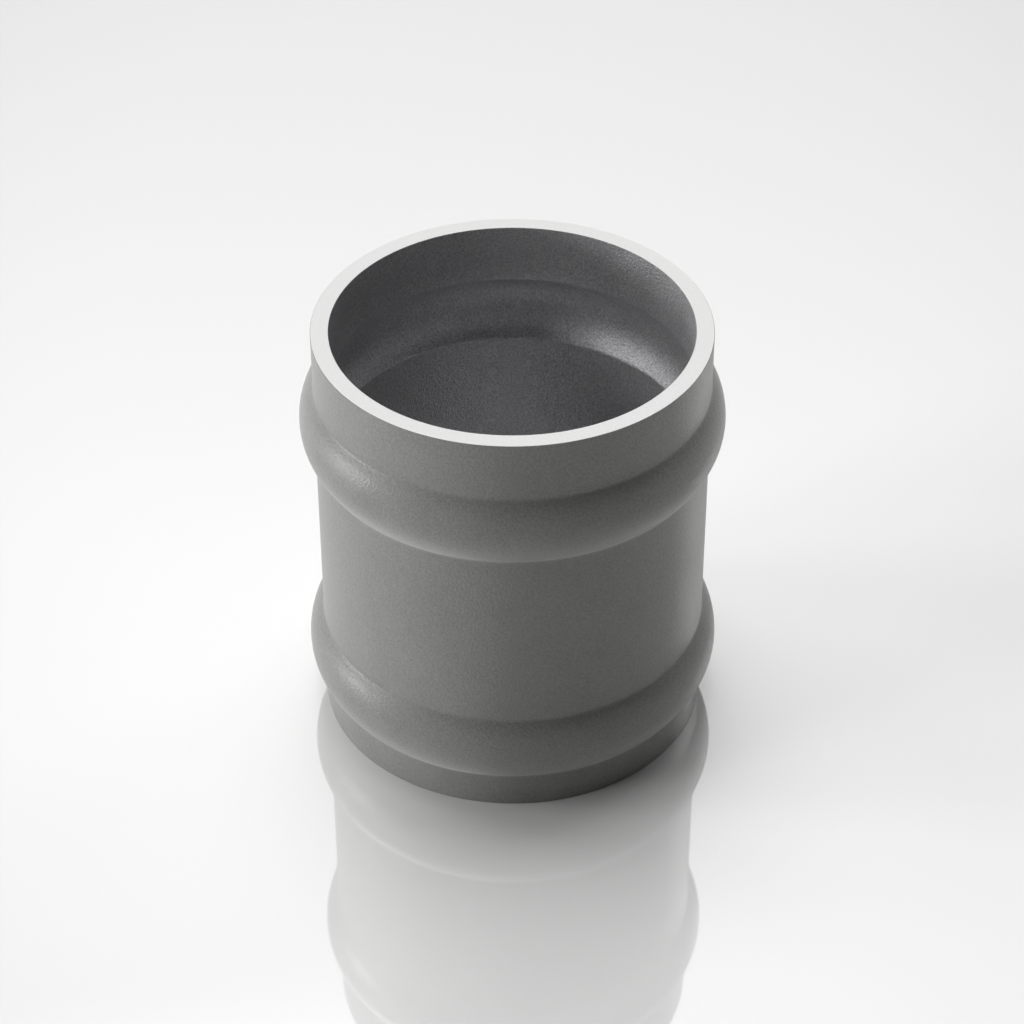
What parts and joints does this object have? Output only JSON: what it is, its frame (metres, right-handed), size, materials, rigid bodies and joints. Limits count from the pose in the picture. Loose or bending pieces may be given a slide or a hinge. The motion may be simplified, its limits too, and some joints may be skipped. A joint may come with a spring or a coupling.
{
  "type": "downpipe socket",
  "caption": "Round one-piece sleeve that joins lengths of downpipe end to end, with a hollow bead near each mouth, a textured grey coat and bare faced rims.",
  "frame": {"origin": "centre of the foot, on the surface the socket stands on", "axes": "+Z along the bore axis, from the foot up to the mouth with the longer plain collar; X and Y are alike, because the socket is round"},
  "size_m": [0.0946, 0.0946, 0.1005],
  "materials": {
    "coated_casting": "cast aluminium with a fine textured satin grey coat, thin and lighter deep in the bore, bare and brightly faced at both rims"
  },
  "bodies": {
    "root": {"socket": "coated_casting"}
  },
  "joints": []
}
